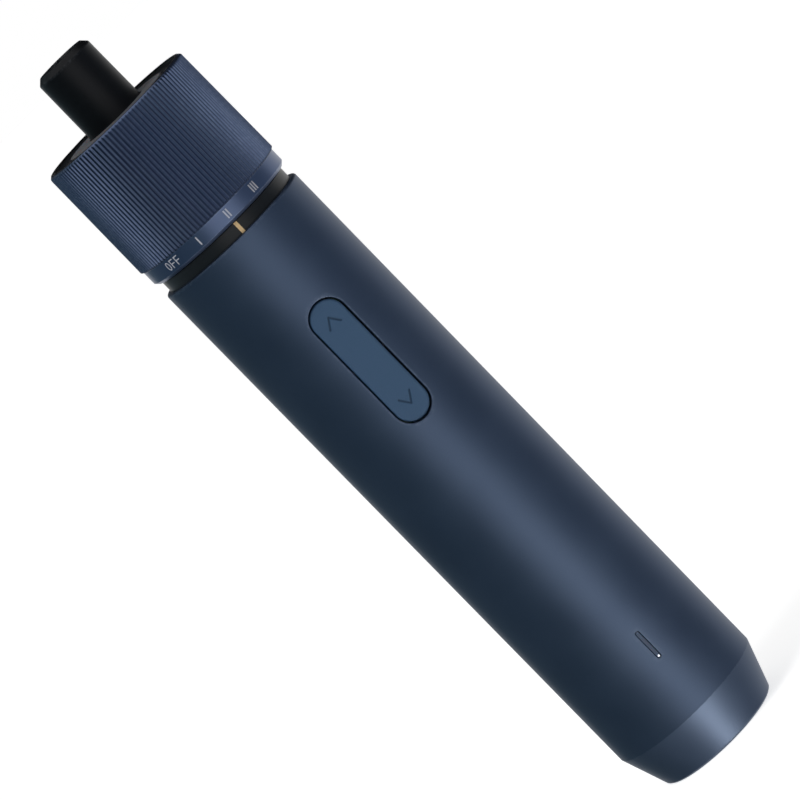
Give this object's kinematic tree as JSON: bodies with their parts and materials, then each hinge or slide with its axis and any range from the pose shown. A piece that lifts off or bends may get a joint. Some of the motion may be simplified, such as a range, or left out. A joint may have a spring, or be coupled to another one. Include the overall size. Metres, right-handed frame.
{
  "type": "electric screwdriver",
  "caption": "Straight cordless electric screwdriver: coned-tail tube body with a two-way thumb button, ribbed torque ring, front light ring and a hexagonal bit socket.",
  "frame": {"origin": "centre of the tail face, where the tool stands", "axes": "+Z along the tool's axis towards the bit socket; the button, index mark and lamp bar face -Y"},
  "size_m": [0.036, 0.036, 0.1884],
  "materials": {
    "anodised_sleeve": "bead blasted, dark blue anodised",
    "anodised_ring": "turned and straight knurled, dark blue anodised",
    "button_plastic": "matte, dark blue",
    "black_plastic": "satin black",
    "cap_plastic": "gloss black",
    "index_paint": "orange filled mark",
    "light_plastic": "frosted clear",
    "black_steel": "black oxide",
    "gear_steel": "machined",
    "shaft_steel": "ground",
    "gearbox_zinc": "die cast",
    "bronze": "sintered",
    "motor_zinc": "zinc plated",
    "magnet": "sintered",
    "core_steel": "laminated",
    "copper": "enamelled wire",
    "lead_rubber": "insulated wire",
    "seal_rubber": "moulded",
    "cell_wrap": "shrink wrapped",
    "tin_plate": "bright tin",
    "board_epoxy": "solder mask",
    "chip_epoxy": "moulded",
    "led": "phosphor",
    "frame_plastic": "moulded, glass filled"
  },
  "bodies": {
    "housing": {"sleeve": "anodised_sleeve", "tail_cap": "black_plastic", "front_housing": "black_plastic", "index_mark": "index_paint", "front_cap": "cap_plastic", "light_ring": "light_plastic", "light_board": "board_epoxy", "light_leds": "led", "sensor_strip": "board_epoxy", "drag_ring": "seal_rubber", "spindle_bush": "bronze", "gearbox_housing": "gearbox_zinc", "gearbox_cover": "gearbox_zinc", "motor_plate": "shaft_steel", "motor_screws": "shaft_steel", "motor_can": "motor_zinc", "motor_magnets": "magnet", "motor_end_cap": "frame_plastic", "motor_brushes": "core_steel", "motor_leads": "lead_rubber", "battery_cell": "cell_wrap", "battery_tabs": "tin_plate", "main_board": "board_epoxy", "board_parts": "chip_epoxy", "board_pins": "tin_plate", "charge_board": "board_epoxy", "usb_socket": "tin_plate", "usb_tongue": "chip_epoxy", "indicator_lens": "light_plastic", "rocker_axle": "shaft_steel", "switch_board": "board_epoxy", "tact_switches": "chip_epoxy", "frame_screws": "shaft_steel", "frame_front": "frame_plastic", "frame_rear": "frame_plastic"},
    "torque_ring": {"torque_ring": "anodised_ring", "ring_liner": "frame_plastic", "ring_magnet": "magnet"},
    "rocker": {"rocker_button": "button_plastic"},
    "spindle": {"bit_holder": "black_steel", "bit_magnet": "magnet", "spindle_clip": "shaft_steel", "thrust_washer": "shaft_steel", "output_carrier": "gear_steel"},
    "carrier_2": {"carrier_2": "gear_steel"},
    "carrier_1": {"carrier_1": "gear_steel"},
    "rotor": {"motor_pinion": "gear_steel", "motor_shaft": "shaft_steel", "rotor_core": "core_steel", "rotor_windings": "copper", "commutator": "bronze"},
    "planet_3_1": {"planet_3_1": "gear_steel"},
    "planet_3_2": {"planet_3_2": "gear_steel"},
    "planet_3_3": {"planet_3_3": "gear_steel"},
    "planet_2_1": {"planet_2_1": "gear_steel"},
    "planet_2_2": {"planet_2_2": "gear_steel"},
    "planet_2_3": {"planet_2_3": "gear_steel"},
    "planet_1_1": {"planet_1_1": "gear_steel"},
    "planet_1_2": {"planet_1_2": "gear_steel"},
    "planet_1_3": {"planet_1_3": "gear_steel"}
  },
  "joints": [
    {"name": "ring_turn", "type": "hinge", "parent": "housing", "child": "torque_ring", "pos_m": [0, 0, 0.158], "axis": [0, 0, 1], "range_deg": [-25.5, 51]},
    {"name": "rocker_tilt", "type": "hinge", "parent": "housing", "child": "rocker", "pos_m": [0, -0.01435, 0.1052], "axis": [1, 0, 0], "range_deg": [-2, 2], "stiffness_Nm_per_rad": 0.3},
    {"name": "spindle_spin", "type": "hinge", "parent": "housing", "child": "spindle", "pos_m": [0, 0, 0.165], "axis": [0, 0, 1], "continuous": true},
    {"name": "carrier_2_spin", "type": "hinge", "parent": "housing", "child": "carrier_2", "pos_m": [0, 0, 0.15], "axis": [0, 0, 1], "continuous": true},
    {"name": "carrier_1_spin", "type": "hinge", "parent": "housing", "child": "carrier_1", "pos_m": [0, 0, 0.143], "axis": [0, 0, 1], "continuous": true},
    {"name": "rotor_spin", "type": "hinge", "parent": "housing", "child": "rotor", "pos_m": [0, 0, 0.12], "axis": [0, 0, 1], "continuous": true},
    {"name": "planet_3_1_spin", "type": "hinge", "parent": "spindle", "child": "planet_3_1", "pos_m": [0.0075, 0, 0.1535], "axis": [0, 0, 1], "continuous": true},
    {"name": "planet_3_2_spin", "type": "hinge", "parent": "spindle", "child": "planet_3_2", "pos_m": [-0.00375, 0.0065, 0.1535], "axis": [0, 0, 1], "continuous": true},
    {"name": "planet_3_3_spin", "type": "hinge", "parent": "spindle", "child": "planet_3_3", "pos_m": [-0.00375, -0.0065, 0.1535], "axis": [0, 0, 1], "continuous": true},
    {"name": "planet_2_1_spin", "type": "hinge", "parent": "carrier_2", "child": "planet_2_1", "pos_m": [0.0075, 0, 0.146], "axis": [0, 0, 1], "continuous": true},
    {"name": "planet_2_2_spin", "type": "hinge", "parent": "carrier_2", "child": "planet_2_2", "pos_m": [-0.00375, 0.0065, 0.146], "axis": [0, 0, 1], "continuous": true},
    {"name": "planet_2_3_spin", "type": "hinge", "parent": "carrier_2", "child": "planet_2_3", "pos_m": [-0.00375, -0.0065, 0.146], "axis": [0, 0, 1], "continuous": true},
    {"name": "planet_1_1_spin", "type": "hinge", "parent": "carrier_1", "child": "planet_1_1", "pos_m": [0.0075, 0, 0.139], "axis": [0, 0, 1], "continuous": true},
    {"name": "planet_1_2_spin", "type": "hinge", "parent": "carrier_1", "child": "planet_1_2", "pos_m": [-0.00375, 0.0065, 0.139], "axis": [0, 0, 1], "continuous": true},
    {"name": "planet_1_3_spin", "type": "hinge", "parent": "carrier_1", "child": "planet_1_3", "pos_m": [-0.00375, -0.0065, 0.139], "axis": [0, 0, 1], "continuous": true}
  ],
  "couplings": [
    {"joint": "carrier_2_spin", "follows": "spindle_spin", "ratio": 4},
    {"joint": "carrier_1_spin", "follows": "spindle_spin", "ratio": 16},
    {"joint": "rotor_spin", "follows": "spindle_spin", "ratio": 64},
    {"joint": "planet_3_1_spin", "follows": "spindle_spin", "ratio": -3},
    {"joint": "planet_3_2_spin", "follows": "spindle_spin", "ratio": -3},
    {"joint": "planet_3_3_spin", "follows": "spindle_spin", "ratio": -3},
    {"joint": "planet_2_1_spin", "follows": "spindle_spin", "ratio": -12},
    {"joint": "planet_2_2_spin", "follows": "spindle_spin", "ratio": -12},
    {"joint": "planet_2_3_spin", "follows": "spindle_spin", "ratio": -12},
    {"joint": "planet_1_1_spin", "follows": "spindle_spin", "ratio": -48},
    {"joint": "planet_1_2_spin", "follows": "spindle_spin", "ratio": -48},
    {"joint": "planet_1_3_spin", "follows": "spindle_spin", "ratio": -48}
  ]
}
